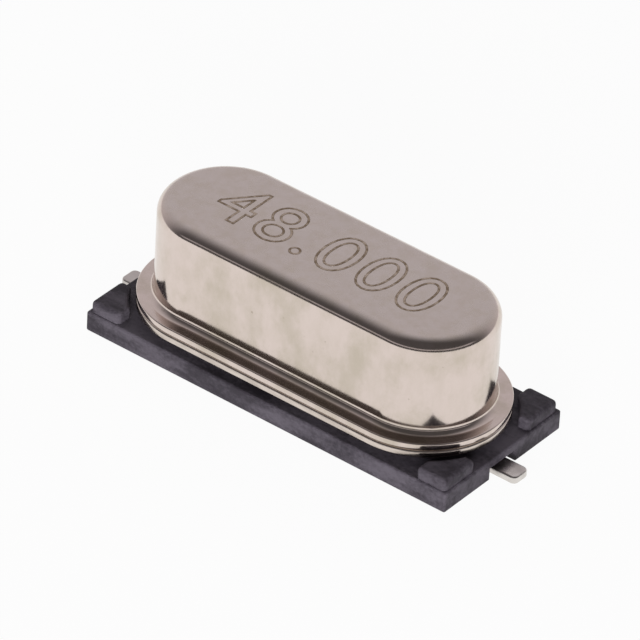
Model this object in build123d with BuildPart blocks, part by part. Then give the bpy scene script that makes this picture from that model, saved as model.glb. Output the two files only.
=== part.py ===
from build123d import *
from math import sqrt
import os

# A low-profile quartz crystal resonator on an insulating carrier, for soldering to a board.
# A drawn metal cap is welded by its flange to a flat header. Two leads pass through the header
# in glass seals. Inside, spring clips on the leads hold a quartz strip with a metal film on
# each face. Under the header lies a moulded carrier, and the leads bend outwards beneath it.
# Millimetres. X runs along the length, Z is up. The origin is the middle of the underside.

# Drawn cap
cap_length = 9.92
cap_width = 3.6
cap_height = 2.93  # from the underside of its flange to its top
cap_sheet = 0.21
cap_top_round = 0.37
cap_foot_round = 0.2  # where the wall turns outwards into the flange
flange_overhang = 0.43  # flange beyond the wall, all round
flange_seam_round = 0.07  # the edges that face each other along the welded seam
flange_rim_round = 0.04  # the outer edges of the flange stack

# Header
header_flange_thickness = 0.21
header_rise = 0.71  # raised middle above its flange
header_clearance = 0.2  # raised middle to the inside of the cap
header_top_round = 0.1

# Leads and their seals
pin_pitch = 4.88
wire_diameter = 0.43
seal_diameter = 1.3
pin_above_header = 0.15
pin_head_diameter = 0.9
pin_head_thickness = 0.12
bend_radius = 0.35  # to the middle of the wire
round_run = 0.3  # wire left round after the bend
coining_run = 0.5  # where the round wire widens into the flat foot
foot_width = 0.58
foot_thickness = 0.22
foot_projection = 0.6  # foot beyond the end of the carrier
foot_tip_round = 0.15
foot_edge_round = 0.05

# Moulded carrier
carrier_thickness = 0.58
carrier_end_margin = 0.31  # carrier beyond the flange, at each end
carrier_side_margin = 0.12  # carrier beyond the flange, at each side
carrier_end_round = 0.1  # end faces into the top and the underside
carrier_side_round = 0.06  # long sides into the top and the underside
seat_height = 0.2  # raised seat that carries the header
seat_inset = 0.65  # seat inside the edge of the flange
seat_edge_round = 0.06
pad_height = 0.31
pad_edge_inset = 0.07  # foot of a pad inside the edge of the carrier
pad_flange_clearance = 0.17  # round nest in the pads, beyond the flange
pad_end_land = 0.32  # a pad's narrow end, along X
pad_side_land = 0.45  # a pad's other narrow end, along Y
pad_corner_round = 0.13
pad_top_round = 0.11
groove_width = 1.1
groove_foot_clearance = 0.16  # room above the flat foot
groove_wire_clearance = 0.05  # room above the round wire
hole_clearance = 0.17  # on the wire's diameter

# Quartz strip, films and clips
blank_end_clearance = 0.75  # strip to the inside of the cap
blank_side_clearance = 0.69
blank_thickness = 0.166
blank_edge_break = 0.03
blank_lift = 0.48  # underside of the strip above the lead's head
film_thickness = 0.02
film_margin = 0.2  # film inside the long edges of the strip
film_length = 4.6
film_tab_width = 0.6
clip_sheet = 0.1
clip_width = 1.0
clip_wing_width = 0.24  # metal beside the slot, on each side
clip_wing_drop = 0.15  # metal below the slot
clip_wing_rise = 0.22  # metal above the slot
clip_bend_round = 0.08
clip_behind_pin = 0.35  # tab beyond the lead's axis, towards the middle
blank_past_clip = 0.3  # strip beyond the clip
slot_side_clearance = 0.05
slot_top_clearance = 0.03
dot_length = 0.34
dot_height = 0.2
dot_width = 0.9

# What follows from those sizes
flange_length = cap_length + 2 * flange_overhang
flange_width = cap_width + 2 * flange_overhang
inner_length = cap_length - 2 * cap_sheet
inner_width = cap_width - 2 * cap_sheet
carrier_length = flange_length + 2 * carrier_end_margin
carrier_width = flange_width + 2 * carrier_side_margin
nest_radius = flange_width / 2 + pad_flange_clearance
nest_centre = (flange_length - flange_width) / 2
pad_outer_x = carrier_length / 2 - pad_edge_inset
pad_outer_y = carrier_width / 2 - pad_edge_inset
pad_inner_y = sqrt(nest_radius**2 - (pad_outer_x - pad_end_land - nest_centre) ** 2)
pad_inner_x = nest_centre + sqrt(nest_radius**2 - (pad_outer_y - pad_side_land) ** 2)
pin_x = pin_pitch / 2

header_bottom = carrier_thickness + seat_height
seam_level = header_bottom + header_flange_thickness
header_top = seam_level + header_rise
pin_head_bottom = header_top + pin_above_header
pin_head_top = pin_head_bottom + pin_head_thickness
blank_bottom = pin_head_top + blank_lift
blank_top = blank_bottom + blank_thickness
slot_top = blank_top + slot_top_clearance

blank_length = inner_length - 2 * blank_end_clearance
blank_width = inner_width - 2 * blank_side_clearance
clip_face = blank_length / 2 - blank_past_clip - clip_sheet  # side of the clip towards the middle
wing_width = blank_width + 2 * slot_side_clearance + 2 * clip_wing_width
wing_bottom = blank_bottom - clip_wing_drop
wing_top = slot_top + clip_wing_rise

sides = {"left": -1, "right": 1}
os.makedirs("parts", exist_ok=True)


def save(piece, name):
    """Label a finished piece and write it under its own name."""
    piece.label = name
    export_step(piece, f"parts/{name}.step")


# Metal cap: drawn from one sheet, so the wall, the top and the flange are equally thick.
with BuildPart() as metal_cap:
    with BuildSketch(Plane.XY.offset(seam_level)):
        SlotOverall(flange_length, flange_width)
    extrude(amount=cap_sheet)
    with BuildSketch(Plane.XY.offset(seam_level)):
        SlotOverall(cap_length, cap_width)
    extrude(amount=cap_height)
    fillet(metal_cap.edges().group_by(Axis.Z)[-1], cap_top_round)
    wall_foot = metal_cap.faces().filter_by(Axis.Z).sort_by(Axis.Z)[1].inner_wires()[0].edges()
    fillet(wall_foot, cap_foot_round)
    with BuildSketch(Plane.XY.offset(seam_level)):
        SlotOverall(inner_length, inner_width)
    extrude(amount=cap_height - cap_sheet, mode=Mode.SUBTRACT)
    ceiling = metal_cap.faces().filter_by(Axis.Z).sort_by(Axis.Z)[-2]
    fillet(ceiling.edges(), cap_top_round - cap_sheet)
    mouth = metal_cap.faces().sort_by(Axis.Z)[0]
    fillet(mouth.inner_wires()[0].edges(), cap_foot_round + cap_sheet)
    underside = metal_cap.faces().sort_by(Axis.Z)[0]
    fillet(underside.outer_wire().edges(), flange_seam_round)
    rim_face = metal_cap.faces().filter_by(Axis.Z).sort_by(Axis.Z)[1]
    fillet(rim_face.outer_wire().edges(), flange_rim_round)
save(metal_cap.part, "metal_cap")

# Header plate: one coined plate with a thin flange and a raised middle with two seal holes.
with BuildPart() as header_plate:
    with BuildSketch(Plane.XY.offset(header_bottom)):
        SlotOverall(flange_length, flange_width)
    extrude(amount=header_flange_thickness)
    fillet(header_plate.edges().group_by(Axis.Z)[-1], flange_seam_round)
    fillet(header_plate.edges().group_by(Axis.Z)[0], flange_rim_round)
    with BuildSketch(Plane.XY.offset(seam_level)):
        SlotOverall(inner_length - 2 * header_clearance, inner_width - 2 * header_clearance)
    extrude(amount=header_rise)
    fillet(header_plate.edges().group_by(Axis.Z)[-1], header_top_round)
    with BuildSketch(Plane.XY.offset(header_bottom)):
        with GridLocations(pin_pitch, 0, 2, 1):
            Circle(seal_diameter / 2)
    extrude(amount=header_flange_thickness + header_rise, mode=Mode.SUBTRACT)
save(header_plate.part, "header_plate")

# Insulator base: a moulded slab with a seat for the header, four corner pads that nest the ends
# of the flange, two holes for the leads and a groove under each end for the flat foot.
with BuildPart() as insulator_base:
    with BuildSketch():
        Rectangle(carrier_length, carrier_width)
    extrude(amount=carrier_thickness)
    fillet(insulator_base.edges().filter_by(Axis.Y), carrier_end_round)
    fillet(insulator_base.edges().filter_by(Axis.X), carrier_side_round)
    with BuildSketch(Plane.XY.offset(carrier_thickness)):
        SlotOverall(flange_length - 2 * seat_inset, flange_width - 2 * seat_inset)
    extrude(amount=seat_height)
    fillet(insulator_base.edges().group_by(Axis.Z)[-1], seat_edge_round)
    with BuildSketch():
        with GridLocations(pin_pitch, 0, 2, 1):
            Circle((wire_diameter + hole_clearance) / 2)
    extrude(amount=header_bottom, mode=Mode.SUBTRACT)
    groove_start = pin_x - (wire_diameter + hole_clearance) / 2
    groove_length = carrier_length / 2 - groove_start
    pocket_length = wire_diameter + bend_radius + round_run + coining_run
    for side in sides.values():
        with BuildSketch():
            with Locations((side * (groove_start + groove_length / 2), 0)):
                Rectangle(groove_length, groove_width)
        extrude(amount=foot_thickness + groove_foot_clearance, mode=Mode.SUBTRACT)
        with BuildSketch():
            with Locations((side * (groove_start + pocket_length / 2), 0)):
                Rectangle(pocket_length, wire_diameter + hole_clearance)
        extrude(amount=wire_diameter + groove_wire_clearance, mode=Mode.SUBTRACT)

# Corner pads, each a block whose inner corner is cut along the end of the flange.
with BuildPart() as corner_pads:
    with BuildSketch(Plane.XY.offset(carrier_thickness)):
        with GridLocations(pad_outer_x + pad_inner_x, pad_outer_y + pad_inner_y, 2, 2):
            Rectangle(pad_outer_x - pad_inner_x, pad_outer_y - pad_inner_y)
        SlotOverall(2 * (nest_centre + nest_radius), 2 * nest_radius, mode=Mode.SUBTRACT)
    extrude(amount=pad_height)
    fillet(corner_pads.edges().filter_by(Axis.Z), pad_corner_round)
    fillet(corner_pads.edges().group_by(Axis.Z)[-1], pad_top_round)

with insulator_base:
    add(corner_pads.part)
save(insulator_base.part, "insulator_base")

for name, side in sides.items():
    pin_axis = Plane((side * pin_x, 0, 0))

    # Glass seal: a bead fused between the lead and the hole in the header.
    with BuildPart() as glass_seal:
        with BuildSketch(pin_axis.offset(header_bottom)):
            Circle(seal_diameter / 2)
            Circle(wire_diameter / 2, mode=Mode.SUBTRACT)
        extrude(amount=header_top - header_bottom)
    save(glass_seal.part, f"glass_seal_{name}")

    # Lead: round wire with a flat head, bent outwards under the carrier and coined into a foot.
    coining_start = pin_x + bend_radius + round_run
    foot_start = coining_start + coining_run
    foot_tip = carrier_length / 2 + foot_projection
    with BuildPart() as lead:
        with BuildLine(Plane.XZ) as wire_route:
            FilletPolyline(
                (side * pin_x, pin_head_bottom),
                (side * pin_x, wire_diameter / 2),
                (side * coining_start, wire_diameter / 2),
                radius=bend_radius,
            )
        with BuildSketch(pin_axis.offset(pin_head_bottom)):
            Circle(wire_diameter / 2)
        sweep(path=wire_route.wires()[0])
        with BuildSketch(pin_axis.offset(pin_head_bottom)):
            Circle(pin_head_diameter / 2)
        extrude(amount=pin_head_thickness)
        with BuildSketch(Plane((side * coining_start, 0, wire_diameter / 2), (0, 1, 0), (side, 0, 0))):
            Circle(wire_diameter / 2)
        with BuildSketch(Plane((side * foot_start, 0, foot_thickness / 2), (0, 1, 0), (side, 0, 0))):
            RectangleRounded(foot_width, foot_thickness, foot_edge_round)
        loft()
    with BuildPart() as foot:
        with BuildSketch():
            with Locations((side * (foot_start + foot_tip) / 2, 0)):
                Rectangle(foot_tip - foot_start, foot_width)
        extrude(amount=foot_thickness)
        tip_corners = foot.edges().filter_by(Axis.Z).sort_by(Axis.X)
        fillet(tip_corners[-2:] if side > 0 else tip_corners[:2], foot_tip_round)
        foot_end = foot.faces().sort_by(Axis.X)[0 if side > 0 else -1]
        rims = foot.edges().filter_by(Axis.Z, reverse=True) - foot_end.edges()
        fillet(rims, foot_edge_round)
    with lead:
        add(foot.part)
    save(lead.part, f"lead_{name}")

    # Spring clip: a tab welded to the lead's head, turned up and slotted for the strip.
    with BuildPart() as spring_clip:
        tab_start = pin_x - clip_behind_pin
        tab_length = clip_face + clip_sheet - tab_start
        with BuildSketch(Plane.XY.offset(pin_head_top)):
            with Locations((side * (tab_start + tab_length / 2), 0)):
                Rectangle(tab_length, clip_width)
        extrude(amount=clip_sheet)
        with BuildSketch(Plane.XY.offset(pin_head_top)):
            with Locations((side * (clip_face + clip_sheet / 2), 0)):
                Rectangle(clip_sheet, clip_width)
        extrude(amount=wing_bottom - pin_head_top)
        across = spring_clip.edges().filter_by(Axis.Y)
        inner_bend = across.sort_by_distance((side * clip_face, 0, pin_head_top + clip_sheet))[0]
        outer_bend = across.sort_by_distance((side * (clip_face + clip_sheet), 0, pin_head_top))[0]
        fillet(inner_bend, clip_bend_round)
        fillet(outer_bend, clip_bend_round)
        with BuildSketch(Plane.XY.offset(wing_bottom)):
            with Locations((side * (clip_face + clip_sheet / 2), 0)):
                Rectangle(clip_sheet, wing_width)
        extrude(amount=wing_top - wing_bottom)
        with BuildSketch(Plane.XY.offset(blank_bottom)):
            with Locations((side * (clip_face + clip_sheet / 2), 0)):
                Rectangle(clip_sheet, blank_width + 2 * slot_side_clearance)
        extrude(amount=slot_top - blank_bottom, mode=Mode.SUBTRACT)
    save(spring_clip.part, f"spring_clip_{name}")

    # Adhesive dot: a fillet of conductive adhesive between the strip and the clip.
    with BuildPart() as adhesive:
        with BuildSketch(Plane.XZ):
            with BuildLine():
                Polyline(
                    (side * (clip_face - dot_length), blank_top),
                    (side * clip_face, blank_top),
                    (side * clip_face, slot_top + dot_height),
                )
                RadiusArc(
                    (side * clip_face, slot_top + dot_height),
                    (side * (clip_face - dot_length), blank_top),
                    -side * dot_length,
                )
            make_face()
        extrude(amount=dot_width / 2, both=True)
    save(adhesive.part, f"adhesive_{name}")

# Crystal blank: a quartz strip that passes through both clips.
with BuildPart() as crystal_blank:
    with BuildSketch(Plane.XY.offset(blank_bottom)):
        Rectangle(blank_length, blank_width)
    extrude(amount=blank_thickness)
    chamfer(crystal_blank.edges().filter_by(Axis.Z), blank_edge_break)
save(crystal_blank.part, "crystal_blank")

# Electrodes: a film on each face, with a tab to one end. The upper film runs to the left-hand
# adhesive dot, and the lower one to the right-hand clip.
film_width = blank_width - 2 * film_margin
top_tab_end = -(clip_face - dot_length)
films = {
    "electrode_top": (blank_top, film_thickness, top_tab_end),
    "electrode_bottom": (blank_bottom, -film_thickness, clip_face),
}
for name, (level, thickness, tab_end) in films.items():
    with BuildPart() as electrode:
        with BuildSketch(Plane.XY.offset(level)):
            Rectangle(film_length, film_width)
            with Locations((tab_end / 2, 0)):
                Rectangle(abs(tab_end), film_tab_width)
        extrude(amount=thickness)
    save(electrode.part, name)
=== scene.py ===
# %% [markdown]
# # A quartz crystal resonator, dressed in Blender
# The part is a small oval can of drawn nickel, welded to a plate and standing on a dark moulded
# carrier. Its shape is fixed already by the CAD model, which comes in as a frame that never moves.
# This lesson makes clean, smooth versions of the pieces that show, gives every piece a finish with
# grain and wear, and sets up a plain studio. The first cell loads the frame and moves each node's place
# into its mesh.

# %% Load the frame
import math
import bmesh
import bpy
from mathutils import Matrix, Vector


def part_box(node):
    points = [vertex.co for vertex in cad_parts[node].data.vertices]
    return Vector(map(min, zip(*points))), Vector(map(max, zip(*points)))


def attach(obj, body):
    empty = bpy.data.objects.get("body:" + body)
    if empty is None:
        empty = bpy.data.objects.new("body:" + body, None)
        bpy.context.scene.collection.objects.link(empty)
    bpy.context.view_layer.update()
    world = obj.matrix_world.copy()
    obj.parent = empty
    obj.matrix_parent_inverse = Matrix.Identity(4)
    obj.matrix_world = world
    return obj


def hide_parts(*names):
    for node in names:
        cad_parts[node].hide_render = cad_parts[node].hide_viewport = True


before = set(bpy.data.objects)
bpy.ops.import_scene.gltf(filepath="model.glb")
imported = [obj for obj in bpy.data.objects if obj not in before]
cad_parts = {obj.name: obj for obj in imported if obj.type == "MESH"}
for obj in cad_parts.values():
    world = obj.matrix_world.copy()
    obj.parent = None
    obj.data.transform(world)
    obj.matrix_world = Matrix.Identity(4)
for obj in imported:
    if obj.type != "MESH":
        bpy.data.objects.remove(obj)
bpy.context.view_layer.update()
mm = 0.001

# %% [markdown]
# ## Where things are
# Levels and outlines are read from the boxes of the CAD nodes, so the new pieces land exactly on
# the old ones. What a box cannot tell, such as the thickness of the sheet or the radius of a
# bend, is written down here in millimetres, once.

# %% Read the levels and outlines
can_low, can_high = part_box("metal_cap")
plate_low, plate_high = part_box("header_plate")
carrier_low, carrier_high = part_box("insulator_base")
lead_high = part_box("lead_right")[1]
seal_low, seal_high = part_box("glass_seal_right")

rim_radius = can_high.y
end_centre = can_high.x - rim_radius
seam_level = can_low.z
can_top = can_high.z
plate_bottom = plate_low.z
pin_x = (seal_low.x + seal_high.x) / 2
sheet = 0.21 * mm
wall_radius = 1.8 * mm
outline = {"rim radius": rim_radius, "end centre": end_centre, "pin": pin_x}
print({name: round(length / mm, 3) for name, length in outline.items()})

# %% [markdown]
# ## Hands for edit mode
# Every operator in Blender acts on what is selected. These helpers stand for what a hand does with
# the mouse: take up one object alone, enter or leave edit mode, and pick vertices, edges or faces
# by where they are. A pick in code is used rather than a fixed list of numbers, because the list
# would change as soon as a bevel gets one more segment.


# %% Take up an object and pick parts of it
def take_down():
    """Leave edit mode and drop everything that is selected."""
    if bpy.context.mode != "OBJECT":
        bpy.ops.object.mode_set(mode="OBJECT")
    bpy.ops.object.select_all(action="DESELECT")


def take_up(*objects):
    """Select these objects alone, the first one active."""
    take_down()
    for piece in objects:
        piece.select_set(True)
    bpy.context.view_layer.objects.active = objects[0]


def start_editing(kind="VERT"):
    """Enter edit mode on the active object with everything selected."""
    bpy.ops.object.mode_set(mode="EDIT")
    bpy.ops.mesh.select_mode(type=kind)
    bpy.ops.mesh.select_all(action="SELECT")


def stop_editing():
    """Go back to object mode."""
    bpy.ops.object.mode_set(mode="OBJECT")


def pick(kind, wanted):
    """Select only the vertices, edges or faces for which wanted(element) is true, and count them."""
    bpy.ops.mesh.select_mode(type=kind)
    bpy.ops.mesh.select_all(action="DESELECT")
    mesh = bmesh.from_edit_mesh(bpy.context.active_object.data)
    groups = {"VERT": mesh.verts, "EDGE": mesh.edges, "FACE": mesh.faces}
    chosen = [element for element in groups[kind] if wanted(element)]
    for element in chosen:
        element.select_set(True)
    mesh.select_flush_mode()
    bmesh.update_edit_mesh(bpy.context.active_object.data)
    return len(chosen)


def near(a, b):
    """True when two lengths are the same to a thousandth of a millimetre."""
    return abs(a - b) < 0.001 * mm


def middle(edge):
    """The middle of an edge."""
    return (edge.verts[0].co + edge.verts[1].co) / 2


def is_upright(edge):
    """True when an edge runs straight up."""
    foot, head = edge.verts
    return near(foot.co.x, head.co.x) and near(foot.co.y, head.co.y)


def is_level(edge):
    """True when both ends of an edge are at one height."""
    return near(edge.verts[0].co.z, edge.verts[1].co.z)


# %% [markdown]
# ## Starting shapes
# A piece starts as a primitive at its own size and place. The block and the drum below are only
# starts or cutting tools: each is bevelled, swept, cut or joined before it becomes a piece. The
# size goes in with a resize in edit mode, so the object itself stays unscaled at the origin.


# %% Add a block, a section or a drum
def settle(name):
    """Name the new object and put its place into its mesh, so that the object sits at the origin."""
    piece = bpy.context.active_object
    piece.name = name
    piece.data.name = name
    bpy.ops.object.transform_apply(location=True, rotation=True, scale=True)
    return piece


def add_block(name, low, high):
    """A box from its lowest corner to its highest."""
    take_down()
    low, high = Vector(low), Vector(high)
    bpy.ops.mesh.primitive_cube_add(size=1, location=(0, 0, 0))
    piece = settle(name)
    start_editing()
    bpy.ops.transform.resize(value=high - low)
    bpy.ops.transform.translate(value=(low + high) / 2)
    stop_editing()
    return piece


def add_drum(name, radius, low, high, x=0, sides=64):
    """An upright cylinder around the line through x."""
    take_down()
    centre = (x, 0, (low + high) / 2)
    bpy.ops.mesh.primitive_cylinder_add(vertices=sides, radius=radius, depth=high - low, location=centre)
    return settle(name)


def add_section(name, inner, outer, low, high):
    """A flat rectangle that stands across the oval's side, where its round end starts."""
    take_down()
    bpy.ops.mesh.primitive_plane_add(size=1, rotation=(0, math.radians(90), 0))
    piece = settle(name)
    start_editing()
    bpy.ops.transform.resize(value=(1, outer - inner, high - low))
    bpy.ops.transform.translate(value=(end_centre, (outer + inner) / 2, (high + low) / 2))
    stop_editing()
    return piece


# %% [markdown]
# ## Finishing a mesh
# Smooth shading averages the normals of neighbouring faces, which makes a large flat face look
# domed where it runs into a small rounding. The Weighted Normal modifier lets the large faces win,
# so flats stay flat and only the roundings turn. It is applied, so the normals are stored.


# %% Apply modifiers and shade a piece
def apply_all(piece):
    """Apply the modifiers of a piece in order."""
    take_up(piece)
    for modifier in list(piece.modifiers):
        bpy.ops.object.modifier_apply(modifier=modifier.name)


def cut_or_join(piece, tool, operation):
    """Change a piece by another shape, DIFFERENCE or UNION, and throw the tool away."""
    modifier = piece.modifiers.new("shape", "BOOLEAN")
    modifier.operation = operation
    modifier.solver = "MANIFOLD"
    modifier.object = tool
    apply_all(piece)
    bpy.data.objects.remove(tool)


def merge_and_turn_out(piece):
    """Merge doubles and turn the faces outwards."""
    take_up(piece)
    start_editing()
    bpy.ops.mesh.remove_doubles(threshold=0.0002 * mm)
    bpy.ops.mesh.select_all(action="SELECT")
    bpy.ops.mesh.normals_make_consistent(inside=False)
    stop_editing()


def shade(piece, sharp_degrees=35):
    """Shade a piece smooth across its roundings, with flats that stay flat."""
    take_up(piece)
    bpy.ops.object.shade_smooth_by_angle(angle=math.radians(sharp_degrees))
    modifier = piece.modifiers.new("flats", "WEIGHTED_NORMAL")
    modifier.mode = "FACE_AREA"
    modifier.weight = 100
    modifier.keep_sharp = True
    apply_all(piece)
    triangles = sum(len(face.vertices) - 2 for face in piece.data.polygons)
    print(piece.name, "has", triangles, "triangles")


# %% [markdown]
# ## Sweeping a section round the oval
# The can, the plate and the seat under it share one outline: two half circles joined by straight
# sides. One way is a circle pulled apart in the middle, but then each level needs its own
# scaling, and a scaled oval is no longer an even border. Instead the wall's cross-section is drawn
# once and swept: half a turn, a straight run, half a turn and a straight run back.


# %% Sweep helper
def round_corner(y, z, radius, segments):
    """Bevel the one corner of the section at (y, z) into an arc."""
    pick("VERT", lambda vertex: near(vertex.co.y, y) and near(vertex.co.z, z))
    bpy.ops.mesh.bevel(offset=radius, segments=segments, affect="VERTICES", clamp_overlap=False)


def sweep_round_the_oval(piece, steps):
    """Turn the flat section of a piece into a closed oval ring or plate."""
    pick("FACE", lambda face: True)
    bpy.ops.mesh.delete(type="ONLY_FACE")
    pick("EDGE", lambda edge: all(near(vertex.co.y, 0) for vertex in edge.verts))
    bpy.ops.mesh.delete(type="EDGE")
    bpy.ops.mesh.select_mode(type="VERT")
    bpy.ops.mesh.select_all(action="SELECT")
    straight = 2 * end_centre
    for side in (1, -1):
        centre = (side * end_centre, 0, 0)
        bpy.ops.mesh.spin(steps=steps, angle=math.pi, center=centre, axis=(0, 0, 1))
        run = {"value": (-side * straight, 0, 0)}
        bpy.ops.mesh.extrude_region_move(TRANSFORM_OT_translate=run)
    stop_editing()
    print(piece.name, "swept to", [round(v / mm, 3) for v in piece.dimensions])


# %% [markdown]
# ## The drawn can
# The real can starts as a disc of thin nickel that a punch draws into a cup, so the wall, the top
# and the flange are one sheet of one thickness, and every corner is a bend and never a sharp edge.
# The section is made as by hand: a strip for the wall, cut at two heights, its top cell pulled in
# to the middle and its bottom cell pulled out to the rim. Then each corner gets its own radius, and
# on a bend the inner and the outer radius differ by the sheet. The top stays a hair under the
# level of the CAD, which leaves room for the film of digits that comes later.

# %% Draw the can's section
hair = 0.002 * mm
shell_top = can_top - hair
can = add_section("drawn_can", wall_radius - sheet, wall_radius, seam_level, shell_top)
start_editing()
for level in (seam_level + sheet, shell_top - sheet):
    bpy.ops.mesh.select_all(action="SELECT")
    bpy.ops.mesh.bisect(plane_co=(0, 0, level), plane_no=(0, 0, 1))
pick("EDGE", lambda e: near(middle(e).y, wall_radius - sheet) and middle(e).z > shell_top - sheet)
bpy.ops.mesh.extrude_region_move(TRANSFORM_OT_translate={"value": (0, sheet - wall_radius, 0)})
pick("EDGE", lambda e: near(middle(e).y, wall_radius) and middle(e).z < seam_level + sheet)
bpy.ops.mesh.extrude_region_move(TRANSFORM_OT_translate={"value": (0, rim_radius - wall_radius, 0)})
bpy.ops.mesh.select_all(action="SELECT")
bpy.ops.mesh.dissolve_faces()
bpy.ops.mesh.select_all(action="SELECT")
bpy.ops.mesh.dissolve_limited(angle_limit=math.radians(1))
print("corners in the section:", pick("VERT", lambda vertex: True))

# %% Round its corners and sweep it
top_round = 0.37 * mm
wall_foot_round = 0.2 * mm
rim_round = 0.04 * mm
seam_round = 0.07 * mm
round_corner(wall_radius, shell_top, top_round, 14)
round_corner(wall_radius, seam_level + sheet, wall_foot_round, 10)
round_corner(rim_radius, seam_level + sheet, rim_round, 4)
round_corner(rim_radius, seam_level, seam_round, 5)
round_corner(wall_radius - sheet, seam_level, wall_foot_round + sheet, 10)
round_corner(wall_radius - sheet, shell_top - sheet, top_round - sheet, 6)
sweep_round_the_oval(can, 64)
merge_and_turn_out(can)
shade(can)
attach(can, "root")
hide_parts("metal_cap")

# %% [markdown]
# ## The header plate
# The plate that closes the can is coined from thicker metal: a thin flange under the can's flange
# and a raised middle that fits inside it. Only the edge of its flange shows, as the lower of the
# two bright lines round the seam, so the edge's small radii matter and the rest stays plain. The
# two seal holes are cut through with a drum.

# %% Draw the plate's section, sweep it and cut the seal holes
plate_top = plate_high.z
boss_radius = 1.39 * mm
plate = add_section("header_disc", 0, boss_radius, plate_bottom, plate_top)
start_editing()
bpy.ops.mesh.bisect(plane_co=(0, 0, seam_level), plane_no=(0, 0, 1))
pick("EDGE", lambda e: near(middle(e).y, boss_radius) and middle(e).z < seam_level)
bpy.ops.mesh.extrude_region_move(TRANSFORM_OT_translate={"value": (0, rim_radius - boss_radius, 0)})
bpy.ops.mesh.select_all(action="SELECT")
bpy.ops.mesh.dissolve_faces()
bpy.ops.mesh.select_all(action="SELECT")
bpy.ops.mesh.dissolve_limited(angle_limit=math.radians(1))
round_corner(boss_radius, plate_top, 0.1 * mm, 4)
round_corner(rim_radius, seam_level, seam_round, 5)
round_corner(rim_radius, plate_bottom, rim_round, 4)
sweep_round_the_oval(plate, 64)
merge_and_turn_out(plate)
seal_radius = (seal_high.x - seal_low.x) / 2
for side in (-1, 1):
    drill = add_drum("seal_drill", seal_radius, plate_bottom - mm, plate_top + mm, side * pin_x, 48)
    cut_or_join(plate, drill, "DIFFERENCE")
shade(plate)
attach(plate, "root")
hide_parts("header_plate")

# %% [markdown]
# ## The moulded carrier
# The carrier is one moulding, but it is easier to build the way a mould is cut: a slab, a raised
# seat, four corner pads, and then the grooves and holes taken away. All edges of the slab get one
# small rounding in a single bevel. A corner that is rounded less than the rims beside it would
# make the rims' bevel fold over itself and show as dark slivers on the flats.

# %% Make the slab
slab_top = 0.58 * mm
carrier = add_block("moulded_carrier", carrier_low, (carrier_high.x, carrier_high.y, slab_top))
half_length = carrier_high.x
half_width = carrier_high.y
start_editing()
bpy.ops.mesh.bevel(offset=0.06 * mm, segments=4, affect="EDGES")
stop_editing()
print("slab", [round(v / mm, 3) for v in carrier.dimensions])

# %% Add the seat that carries the header
seat_radius = 1.58 * mm
seat = add_section("seat", 0, seat_radius, slab_top / 2, plate_bottom)
start_editing()
round_corner(seat_radius, plate_bottom, 0.06 * mm, 3)
sweep_round_the_oval(seat, 48)
merge_and_turn_out(seat)
cut_or_join(carrier, seat, "UNION")

# %% [markdown]
# ## Four corner pads
# Each corner carries a low pad whose inner side follows the round end of the flange, so the four
# pads nest the can. One pad is made: a block, less the drum of the nest, with its upright corners
# and then its top rim rounded. The block reaches inwards just as far as leaves each narrow end of
# the pad its own width. The other three are copies, turned over by a mirror. A mirror turns
# a mesh inside out, so the copies get their normals again before they are joined.

# %% Make one pad
nest_radius = rim_radius + 0.17 * mm
pad_inset = 0.07 * mm
end_land = 0.32 * mm
side_land = 0.45 * mm
pad_outer = Vector((half_length - pad_inset, half_width - pad_inset, carrier_high.z))
inner_x = end_centre + math.sqrt(nest_radius**2 - (pad_outer.y - side_land) ** 2)
inner_y = math.sqrt(nest_radius**2 - (pad_outer.x - end_land - end_centre) ** 2)
pad_inner = Vector((inner_x, inner_y, slab_top / 2))
pad = add_block("pad", pad_inner, pad_outer)
nest = add_drum("nest", nest_radius, 0, 2 * mm, end_centre, 60)
cut_or_join(pad, nest, "DIFFERENCE")
take_up(pad)
start_editing()
pick("EDGE", lambda e: is_upright(e) and e.calc_face_angle(0) > math.radians(75))
bpy.ops.mesh.bevel(offset=0.13 * mm, segments=5, affect="EDGES")
pick("EDGE", lambda e: is_upright(e) and e.calc_face_angle(0) > math.radians(25))
bpy.ops.mesh.bevel(offset=0.05 * mm, segments=3, affect="EDGES")
pick("EDGE", lambda e: near(middle(e).z, carrier_high.z))
bpy.ops.mesh.bevel(offset=0.11 * mm, segments=5, affect="EDGES")
stop_editing()
print("pad has", len(pad.data.polygons), "faces")

# %% Copy the pad to the other corners and join all four
pads = [pad]
for flip in ((-1, 1, 1), (1, -1, 1), (-1, -1, 1)):
    twin = pad.copy()
    twin.data = pad.data.copy()
    bpy.context.collection.objects.link(twin)
    twin.scale = flip
    take_up(twin)
    bpy.ops.object.transform_apply(location=False, rotation=False, scale=True)
    start_editing()
    bpy.ops.mesh.normals_make_consistent(inside=False)
    stop_editing()
    pads.append(twin)
for one in pads:
    cut_or_join(carrier, one, "UNION")

# %% [markdown]
# ## Grooves and holes
# Under each end a groove takes the flat foot of the lead, so the foot lies flush with the
# underside. A narrow pocket gives the round wire room at its bend, and a round hole lets it up
# through the seat. All of them are boxes and drums taken out of the moulding.

# %% Cut the grooves, the pockets and the holes
hole_radius = 0.3 * mm
cut_start = pin_x - hole_radius
groove_end = half_length + mm
pocket_end = cut_start + 1.58 * mm
cuts = {"groove": (groove_end, 0.55 * mm, 0.38 * mm), "pocket": (pocket_end, hole_radius, 0.48 * mm)}
for side in (-1, 1):
    for name, (end, half_cut, ceiling) in cuts.items():
        near_x, far_x = sorted((side * cut_start, side * end))
        cutter = add_block(name, (near_x, -half_cut, -mm), (far_x, half_cut, ceiling))
        cut_or_join(carrier, cutter, "DIFFERENCE")
    hole = add_drum("hole", hole_radius, -mm, 2 * mm, side * pin_x, 32)
    cut_or_join(carrier, hole, "DIFFERENCE")

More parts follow.
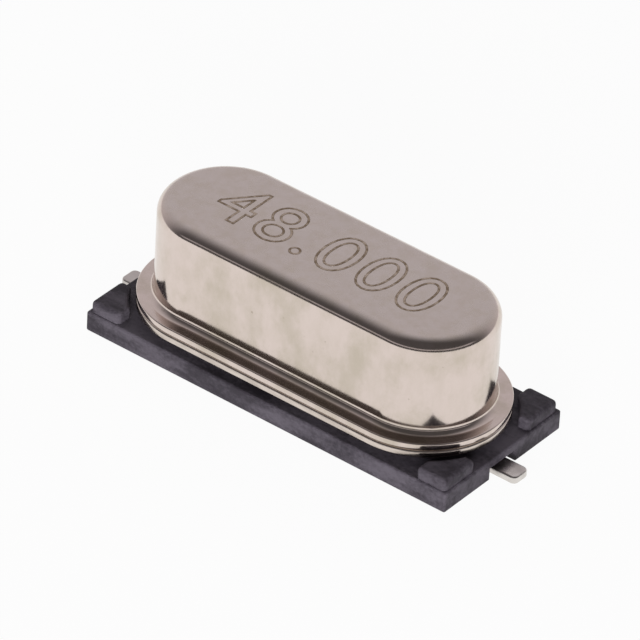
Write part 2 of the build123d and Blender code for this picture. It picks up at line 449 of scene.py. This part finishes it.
# %% [markdown]
# ## Tidying what the cuts leave
# Each cut leaves a few slivers and stray corners on the flat faces. They are dissolved, and the
# flats are merged back into whole faces. Everything is then shaded smooth and the flats flat again,
# so that the light runs evenly over a flat that has both a rounding and a hole beside it.

# %% Clean and shade the carrier
take_up(carrier)
start_editing()
bpy.ops.mesh.dissolve_degenerate(threshold=0.0005 * mm)
bpy.ops.mesh.select_all(action="SELECT")
bpy.ops.mesh.dissolve_limited(angle_limit=math.radians(0.2))
stop_editing()
bpy.ops.object.shade_smooth_by_angle(angle=math.radians(40))
start_editing()
least_flat = 0.01 * mm * mm
flats = pick("FACE", lambda f: max(map(abs, f.normal)) > 0.9999 and f.calc_area() > least_flat)
bpy.ops.mesh.faces_shade_flat()
stop_editing()
print(carrier.name, "has", flats, "flats")
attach(carrier, "root")
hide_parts("insulator_base")

# %% [markdown]
# ## The leads
# A lead is one wire: a flat head inside the can, a straight pin down through the glass, a bend
# under the carrier, and a foot that is squeezed flat. The head and wire grow from one disc by
# inset, extrude and spin. The foot grows from a block with rounded corners, and a bridge between
# their open ends makes the part where the round wire widens, as the press leaves it.

# %% Make the round wire
wire_radius = 0.215 * mm
bend_radius = 0.35 * mm
bend_top = wire_radius + bend_radius
bend_end = pin_x + bend_radius
head_radius = 0.45 * mm
head_thickness = 0.12 * mm
head_bottom = lead_high.z - head_thickness
round_run = 0.3 * mm
take_down()
head_place = (pin_x, 0, lead_high.z)
bpy.ops.mesh.primitive_circle_add(vertices=24, radius=head_radius, fill_type="NGON", location=head_place)
lead = settle("lead_wire_right")
start_editing()
bpy.ops.mesh.extrude_region_move(TRANSFORM_OT_translate={"value": (0, 0, -head_thickness)})
bpy.ops.mesh.inset(thickness=head_radius - wire_radius, depth=0)
bpy.ops.mesh.extrude_region_move(TRANSFORM_OT_translate={"value": (0, 0, bend_top - head_bottom)})
bpy.ops.mesh.spin(steps=10, angle=math.pi / 2, center=(bend_end, 0, bend_top), axis=(0, 1, 0))
bpy.ops.mesh.extrude_region_move(TRANSFORM_OT_translate={"value": (round_run, 0, 0)})
bpy.ops.mesh.delete(type="FACE")
stop_editing()
print("wire reaches", [round(v / mm, 3) for v in lead.bound_box[6]])

# %% Make the flat foot
foot_start = bend_end + 0.8 * mm
foot_tip = lead_high.x
half_foot = lead_high.y - 0.16 * mm
foot_thickness = 0.22 * mm
foot = add_block("foot", (foot_start, -half_foot, 0), (foot_tip, half_foot, foot_thickness))
start_editing()
pick("EDGE", lambda e: is_upright(e) and near(middle(e).x, foot_tip))
bpy.ops.mesh.bevel(offset=0.15 * mm, segments=6, affect="EDGES")
pick("EDGE", lambda e: is_level(e) and not near(middle(e).x, foot_start))
bpy.ops.mesh.bevel(offset=0.05 * mm, segments=5, affect="EDGES")
pick("FACE", lambda f: all(near(v.co.x, foot_start) for v in f.verts))
bpy.ops.mesh.delete(type="FACE")
stop_editing()

# %% Bridge the wire to the foot and make the other lead
take_up(lead, foot)
bpy.ops.object.join()
start_editing()
pick("EDGE", lambda e: e.is_boundary)
bpy.ops.mesh.bridge_edge_loops(number_cuts=6, interpolation="LINEAR")
stop_editing()
merge_and_turn_out(lead)
shade(lead, 50)
other_lead = lead.copy()
other_lead.data = lead.data.copy()
other_lead.name = other_lead.data.name = "lead_wire_left"
bpy.context.collection.objects.link(other_lead)
other_lead.scale = (-1, 1, 1)
take_up(other_lead)
bpy.ops.object.transform_apply(location=False, rotation=False, scale=True)
merge_and_turn_out(other_lead)
shade(other_lead, 50)
for piece, node in ((lead, "lead_right"), (other_lead, "lead_left")):
    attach(piece, "root")
    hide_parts(node)

# %% [markdown]
# ## The marking
# The top carries a few plain digits that a laser has scorched into the nickel. The laser runs
# round the outline of each digit, so every stroke is a pair of thin lines. A text object gives
# just that when it is not filled and its outline is a fine round wire. Once it is a mesh it is
# pressed flat, to a film a thousandth of a millimetre thick on the can's top.

# %% Write the digits and press them flat
line_radius = 0.034 * mm
film_radius = 0.0006 * mm
film_level = can_top - 0.0008 * mm
take_down()
bpy.ops.object.text_add(location=(0, 0, 0))
marking = bpy.context.active_object
marking.name = "scorched_digits"
letters = marking.data
letters.body = "48.000"
letters.size = 2.25 * mm
letters.space_character = 1.12
letters.align_x = "CENTER"
letters.align_y = "CENTER"
letters.fill_mode = "NONE"
letters.bevel_depth = line_radius
letters.bevel_resolution = 1
letters.resolution_u = 6
bpy.ops.object.convert(target="MESH")
marking = bpy.context.active_object
start_editing()
bpy.ops.transform.resize(value=(1, 1, film_radius / line_radius))
bpy.ops.transform.translate(value=(0, 0, film_level))
stop_editing()
bpy.ops.object.shade_smooth()
print("digits span", [round(v / mm, 3) for v in marking.dimensions])
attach(marking, "root")

# %% [markdown]
# ## Writing finishes as sums
# A finish is a graph of nodes, but a long list of nodes and links is hard to read. A small class
# holds one output of a node, and a sum written on it adds the Math nodes for it, so a mask can be
# written as 1 - edge * grain. One method makes any other node: first its settings, then its sockets.


# %% A socket that can be added and multiplied
class Signal:
    """One output in a node graph. Sums on it add Math nodes, and node() adds any other kind."""

    def __init__(self, tree, output=None):
        self.tree = tree
        self.output = output

    def node(self, kind, settings=None, sockets=None, output=0):
        """Add a node, set it up, then feed its sockets by name or number with values or signals."""
        made = self.tree.nodes.new("ShaderNode" + kind)
        for name, value in (settings or {}).items():
            if name == "stops":
                self.set_stops(made.color_ramp, value)
            else:
                setattr(made, name, value)
        for name, value in (sockets or {}).items():
            if isinstance(value, Signal):
                self.tree.links.new(value.output, made.inputs[name])
            else:
                made.inputs[name].default_value = value
        return Signal(self.tree, made.outputs[output]) if made.outputs else None

    def set_stops(self, ramp, stops):
        """Give a colour ramp its stops, each a place from 0 to 1 and a grey or a colour."""
        while len(ramp.elements) < len(stops):
            ramp.elements.new(1)
        for element, (place, colour) in zip(ramp.elements, stops):
            element.position = place
            element.color = (*colour, 1) if isinstance(colour, tuple) else (colour, colour, colour, 1)

    def tap(self, name):
        """Another output of the same node."""
        return Signal(self.tree, self.output.node.outputs[name])

    def math(self, operation, *others):
        """One Math node on this signal and up to two more signals or numbers."""
        return self.node("Math", {"operation": operation}, dict(enumerate((self, *others))))

    def __add__(self, other):
        return self.math("ADD", other)

    def __radd__(self, other):
        return self.math("ADD", other)

    def __sub__(self, other):
        return self.math("SUBTRACT", other)

    def __rsub__(self, other):
        return self.node("Math", {"operation": "SUBTRACT"}, {0: other, 1: self})

    def __mul__(self, other):
        return self.math("MULTIPLY", other)

    def __rmul__(self, other):
        return self.math("MULTIPLY", other)

    def __truediv__(self, other):
        return self.math("DIVIDE", other)


def between(signal, low, high):
    """0 below low, 1 above high and an even slope in between."""
    settings = {"interpolation_type": "SMOOTHSTEP"}
    return signal.node("MapRange", settings, {"Value": signal, "From Min": low, "From Max": high})


def blend(factor, first, second):
    """A mix of two colours, each a signal or three numbers."""
    colours = [c if isinstance(c, Signal) else (*c, 1) for c in (first, second)]
    sockets = {0: factor, 6: colours[0], 7: colours[1]}
    return factor.node("Mix", {"data_type": "RGBA"}, sockets, 2)


# %% [markdown]
# ## What every finish needs
# Patterns are placed by Object coordinates. Every piece sits at the origin in metres, so these are
# real places on the part, and a noise scale of 1000 means grains of about a millimetre. A bump is
# given as a real depth too: a thousandth of a millimetre is already a lot on polished metal.


# %% Start a finish
finishes = {}


def start_finish(name):
    """A new material with its graph emptied. Returns the graph and the place on the part."""
    material = bpy.data.materials.new(name)
    material.use_nodes = True
    material.node_tree.nodes.clear()
    graph = Signal(material.node_tree)
    finishes[name] = material
    place = graph.node("TexCoord", None, None, "Object")
    return graph, place


def grain(place, scale, stretch=(1, 1, 1), detail=3, roughness=0.5):
    """Noise on the part's own places, from 0 to 1, stretched along one direction if wanted."""
    turned = place.node("Mapping", None, {"Vector": place, "Scale": stretch})
    sockets = {"Vector": turned, "Scale": scale, "Detail": detail, "Roughness": roughness}
    return place.node("TexNoise", {"noise_dimensions": "3D"}, sockets)


def finish_off(graph, colour, roughness, height=None, depth=0.0, **fixed):
    """The surface shader with its output. Height is a signal, and depth is its real size in metres."""
    sockets = {"Base Color": colour if isinstance(colour, Signal) else (*colour, 1), "Roughness": roughness}
    sockets.update({name.replace("_", " "): value for name, value in fixed.items()})
    if height is not None:
        sockets["Normal"] = graph.node("Bump", None, {"Strength": 1.0, "Distance": depth, "Height": height})
    shader = graph.node("BsdfPrincipled", None, sockets)
    graph.node("OutputMaterial", None, {"Surface": shader})


# %% [markdown]
# ## Drawn nickel
# The can is nickel silver that has been drawn, tumbled and cleaned. Its wall is bright and slightly
# milky, with soft blotches where the punch pulled the metal and a few dark specks. Its top is
# duller, with a fine even grain, because it never touched the die. The flange keeps faint rings
# from the weld's rolling. One material holds all three, told apart by height and by distance from
# the middle line of the oval. First come the masks that tell where things are.

# %% Mask the parts of the can
graph, place = start_finish("drawn_nickel")
parts_of_place = graph.node("SeparateXYZ", None, {0: place})
x, y, z = (parts_of_place.tap(axis) for axis in "XYZ")
past_end = (x.math("ABSOLUTE") - end_centre).math("MAXIMUM", 0)
from_middle = (past_end * past_end + y * y).math("SQRT")
on_top = between(z, can_top - 0.12 * mm, can_top - 0.01 * mm)
on_flange = between(from_middle, wall_radius + 0.1 * mm, wall_radius + 0.25 * mm)
blotches = grain(place, 750, (1, 1, 0.7), 5, 0.6)
cloud = between(blotches, 0.42, 0.66)
mottle = between(grain(place, 3200, (1, 1, 0.5), 4, 0.65), 0.35, 0.7)
specks = between(grain(place, 5200, (1, 1, 1), 1), 0.76, 0.82)
rings_place = graph.node("CombineXYZ", None, {0: from_middle * 30, 1: x, 2: z})
rings = grain(rings_place, 900, (1, 1, 1), 3)
fine = grain(place, 9000, (1, 1, 1), 2)
print("the can's graph has", len(graph.tree.nodes), "nodes so far")

# %% [markdown]
# ## The can's colours
# The masks now choose between a few shades of nickel: the bright wall, its milky blotches, the
# dull top and the dark of a speck. The bump stays very shallow, because polished metal shows
# every unevenness in what it mirrors.

# %% Mix the nickel
bright_nickel = (0.705, 0.606, 0.555)
cloudy_nickel = (0.560, 0.490, 0.410)
dull_nickel = (0.640, 0.575, 0.530)
scorched_nickel = (0.300, 0.245, 0.190)
wall_colour = blend(cloud * 0.75 + mottle * 0.25, bright_nickel, cloudy_nickel)
worn_colour = blend(specks * 0.5, wall_colour, scorched_nickel)
top_colour = blend(mottle * 0.5, dull_nickel, cloudy_nickel)
can_colour = blend(on_top, worn_colour, top_colour)
can_roughness = 0.11 + cloud * 0.05 + on_top * 0.14 + on_flange * rings * 0.1
can_height = blotches * 1.0 + fine * (0.05 + on_top * 0.12) + on_flange * rings * 0.3
finish_off(graph, can_colour, can_roughness, can_height, 0.0035 * mm, Metallic=1.0)

# %% [markdown]
# ## The plate's nickel
# The plate is plated after coining, so its edge is the same warm metal with a slightly greyer,
# finer look and marks that run along the rim.

# %% Mix the plate's nickel
graph, place = start_finish("plated_rim")
along = grain(place, 1400, (1, 1, 6), 4, 0.6)
plate_colour = blend(between(along, 0.35, 0.7), (0.690, 0.610, 0.550), (0.520, 0.455, 0.400))
finish_off(graph, plate_colour, 0.13 + along * 0.14, along, 0.0025 * mm, Metallic=1.0)

# %% [markdown]
# ## Moulded resin
# The carrier is a resin filled with short glass fibres. It looks dark grey with a hint of violet,
# and it is matt, because the fibres lie just under the skin and break it up. The flow of the melt
# leaves pale streaks along the part, and a fine grain covers everything.

# %% Mix the resin
graph, place = start_finish("filled_resin")
fibres = grain(place, 2600, (0.35, 1, 1), 4, 0.7)
pores = grain(place, 9000, (1, 1, 1), 3, 0.6)
flow = between(grain(place, 700, (0.5, 1, 1.6), 3), 0.35, 0.7)
resin_tone = between(fibres * 0.5 + flow * 0.2 + pores * 0.3, 0.34, 0.64)
resin_colour = blend(resin_tone, (0.026, 0.022, 0.028), (0.084, 0.074, 0.090))
resin_roughness = 0.55 + pores * 0.22
resin_skin = fibres * 0.5 + pores * 0.5
finish_off(graph, resin_colour, resin_roughness, resin_skin, 0.012 * mm, Specular_IOR_Level=0.3)

# %% [markdown]
# ## Tinned wire
# The leads are dipped in tin. It is whiter and softer than the can, with long drawing lines and
# small dull patches where fingers and boards have rubbed it.

# %% Mix the tin
graph, place = start_finish("soft_tin")
drawn = grain(place, 2400, (0.3, 1.5, 1.5), 4, 0.6)
rubbed = between(grain(place, 1500, (1, 1, 1), 3), 0.4, 0.65)
tin_colour = blend(drawn * 0.6 + rubbed * 0.4, (0.78, 0.75, 0.71), (0.50, 0.46, 0.43))
finish_off(graph, tin_colour, 0.17 + rubbed * 0.16, drawn, 0.004 * mm, Metallic=1.0)

# %% [markdown]
# ## The scorched marks
# Where the laser has run, the nickel has browned and lost its shine. The marks are a metal still,
# only darker and rougher, and here and there the beam has skipped.

# %% Mix the scorched metal
graph, place = start_finish("laser_scorch")
burnt = between(grain(place, 7000, (1, 1, 1), 3, 0.6), 0.35, 0.62)
scorch_colour = blend(burnt, (0.500, 0.410, 0.320), (0.300, 0.225, 0.150))
finish_off(graph, scorch_colour, 0.34 + burnt * 0.2, burnt, 0.002 * mm, Metallic=0.85)

# %% [markdown]
# ## Finishes that stay inside
# The can is sealed, but a part that is opened or cut must still look right: dark fused glass round
# the pins, a thin yellowish spring strip, silver-filled adhesive, clear lapped quartz and the
# bright silver film on it.

# %% Mix the inner finishes
graph, place = start_finish("fused_glass")
swirl = grain(place, 2600, (1, 1, 1), 3)
glass_colour = blend(swirl, (0.010, 0.030, 0.028), (0.030, 0.060, 0.052))
finish_off(graph, glass_colour, 0.06 + swirl * 0.08, swirl, 0.002 * mm, Coat_Weight=0.6)

graph, place = start_finish("spring_strip")
rolled = grain(place, 3200, (0.2, 1, 1), 4)
strip_colour = blend(rolled, (0.640, 0.540, 0.390), (0.500, 0.420, 0.310))
finish_off(graph, strip_colour, 0.22 + rolled * 0.12, rolled, 0.002 * mm, Metallic=1.0)

graph, place = start_finish("silver_paste")
flakes = grain(place, 8000, (1, 1, 1), 4, 0.7)
paste_colour = blend(flakes, (0.480, 0.470, 0.440), (0.300, 0.290, 0.270))
finish_off(graph, paste_colour, 0.45 + flakes * 0.25, flakes, 0.010 * mm, Metallic=0.5)

graph, place = start_finish("lapped_quartz")
lapping = grain(place, 9000, (1, 1, 1), 3)
quartz_colour = blend(lapping, (0.93, 0.96, 0.97), (0.86, 0.90, 0.92))
quartz_roughness = 0.08 + lapping * 0.14
clear = {"Transmission_Weight": 0.9, "IOR": 1.54}
finish_off(graph, quartz_colour, quartz_roughness, lapping, 0.001 * mm, **clear)

graph, place = start_finish("silver_film")
haze = grain(place, 2200, (1, 1, 1), 4)
film_colour = blend(haze, (0.90, 0.89, 0.86), (0.76, 0.75, 0.71))
finish_off(graph, film_colour, 0.10 + haze * 0.12, haze, 0.0005 * mm, Metallic=1.0)
print("finishes:", ", ".join(finishes))

# %% [markdown]
# ## Dressing the pieces
# New pieces get one material each. The CAD nodes that stay are all hidden in the can and the
# plate. They take theirs through their own material slot, and their meshes are left as they are.

# %% Give every piece its finish
dressing = {
    "drawn_nickel": [can],
    "plated_rim": [plate],
    "filled_resin": [carrier],
    "soft_tin": [lead, other_lead],
    "laser_scorch": [marking],
    "fused_glass": ["glass_seal_left", "glass_seal_right"],
    "spring_strip": ["spring_clip_left", "spring_clip_right"],
    "silver_paste": ["adhesive_left", "adhesive_right"],
    "lapped_quartz": ["crystal_blank"],
    "silver_film": ["electrode_top", "electrode_bottom"],
}
for finish, wearers in dressing.items():
    for wearer in wearers:
        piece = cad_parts[wearer] if isinstance(wearer, str) else wearer
        piece.data.materials.clear()
        piece.data.materials.append(finishes[finish])
    print(finish, "on", len(wearers))

# %% [markdown]
# ## The table it stands on
# The part stands on a plain white table. The camera and the shiny metal see it as an even white,
# by the Light Path node, mixed with a table that takes shadows, so a faint contact shadow stays.

# %% Make the table
take_down()
bpy.ops.mesh.primitive_plane_add(size=4, location=(0, 0, -0.004 * mm))
table = settle("white_table")
start_editing("FACE")
bpy.ops.mesh.subdivide(number_cuts=7)
stop_editing()
graph, place = start_finish("table_white")
rays = graph.node("LightPath", None, None, "Is Camera Ray")
seen = rays
for kind in ("Is Glossy Ray", "Is Transmission Ray"):
    seen = seen.math("MAXIMUM", rays.tap(kind))
paper = between(grain(place, 300, (1, 1, 1), 3), 0.3, 0.7)
table_colour = blend(paper, (0.80, 0.80, 0.80), (0.82, 0.82, 0.82))
matt = graph.node("BsdfDiffuse", None, {"Color": table_colour})
white = graph.node("Emission", None, {"Color": (1, 1, 1, 1), "Strength": 1.0})
shown = graph.node("MixShader", None, {0: seen * 0.95, 1: matt, 2: white})
graph.node("OutputMaterial", None, {"Surface": shown})
table.data.materials.append(finishes["table_white"])

# %% [markdown]
# ## The camera
# The camera looks down at the near corner of the part, a third of the way round from its long
# side, through a long lens from far away, so the edges stay almost parallel. It is also tipped a
# little about its own line of sight.

# %% Place the camera
turn, height, tip = (math.radians(degrees) for degrees in (36.484, 36.158, 3.366))
back = Vector((math.sin(turn) * math.cos(height), -math.cos(turn) * math.cos(height), math.sin(height)))
level_right = Vector((math.cos(turn), math.sin(turn), 0))
level_up = back.cross(level_right)
right = level_right * math.cos(tip) + level_up * math.sin(tip)
up = level_up * math.cos(tip) - level_right * math.sin(tip)
lens = bpy.data.cameras.new("long_lens")
lens.sensor_width = 36
lens.lens = 452.3
lens.clip_start = 0.01
lens.clip_end = 10
camera = bpy.data.objects.new("camera", lens)
bpy.context.scene.collection.objects.link(camera)
distance = 200.7 * mm
aim = up * 1.472 * mm - right * 0.035 * mm
camera.location = back * distance
sight = (camera.location - aim).normalized()
side_axis = up.cross(sight).normalized()
upright_axis = sight.cross(side_axis)
camera.rotation_mode = "QUATERNION"
axes = [[side_axis[i], upright_axis[i], sight[i]] for i in range(3)]
camera.rotation_quaternion = Matrix(axes).to_quaternion()
bpy.context.scene.camera = camera
print("camera at", [round(v / mm, 1) for v in camera.location])

# %% [markdown]
# ## The studio round it
# Polished nickel has little colour of its own: what gives it shape is what it mirrors. A real
# studio has a pale wall behind the part, dark space over and behind the camera, and one low
# window of light. Painting the world by direction does the same with no flags to hang. The
# background is white to the camera.

# %% Paint the world by direction
world = bpy.data.worlds.new("studio")
world.use_nodes = True
world.node_tree.nodes.clear()
bpy.context.scene.world = world
sky = Signal(world.node_tree)
direction = sky.node("TexCoord", None, None, "Generated")
toward_camera = Vector((math.sin(turn), -math.cos(turn), 0))
product = {"operation": "DOT_PRODUCT"}
across = sky.node("VectorMath", product, {0: direction, 1: toward_camera}, "Value")
upward = sky.node("SeparateXYZ", None, {0: direction}, "Z")
wall_side = 1 - between(across, -0.75, 0.30)
wall_light = 0.09 + wall_side * 0.56
window = between(across, 0.15, 0.45) * between(upward, 0.20, 0.25) * (1 - between(upward, 0.31, 0.37))
horizon = (1 - between(upward, 0.02, 0.10)) * wall_side
studio_light = wall_light + window * 0.5 + horizon * 0.35
to_camera = sky.node("LightPath", None, None, "Is Camera Ray")
tint = (0.97, 0.915, 0.955)
channels = {channel: studio_light * strength for channel, strength in enumerate(tint)}
studio_colour = sky.node("CombineColor", None, channels)
backdrop = sky.node("Background", None, {"Color": (1, 1, 1, 1), "Strength": 1.0})
studio = sky.node("Background", None, {"Color": studio_colour, "Strength": 1.0})
both = sky.node("MixShader", None, {0: to_camera, 1: studio, 2: backdrop})
sky.node("OutputWorld", None, {"Surface": both})

# %% [markdown]
# ## Soft lamps
# Two large lamps with soft edges light the dull surfaces. They are hidden from mirror rays, since
# the painted studio already gives the metal something to show.

# %% Hang the lamps
for name, place_at, size, power in (
    ("front_softbox", (0.10, -0.18, 0.010), 0.14, 1.25),
    ("side_softbox", (-0.16, 0.14, 0.12), 0.16, 0.08),
):
    lamp_data = bpy.data.lights.new(name, "AREA")
    lamp_data.size = size
    lamp_data.energy = power
    lamp = bpy.data.objects.new(name, lamp_data)
    bpy.context.scene.collection.objects.link(lamp)
    lamp.location = place_at
    lamp.rotation_mode = "QUATERNION"
    lamp.rotation_quaternion = Vector(place_at).to_track_quat("Z", "Y")
    lamp.visible_glossy = False
bpy.context.scene.view_settings.view_transform = "Standard"
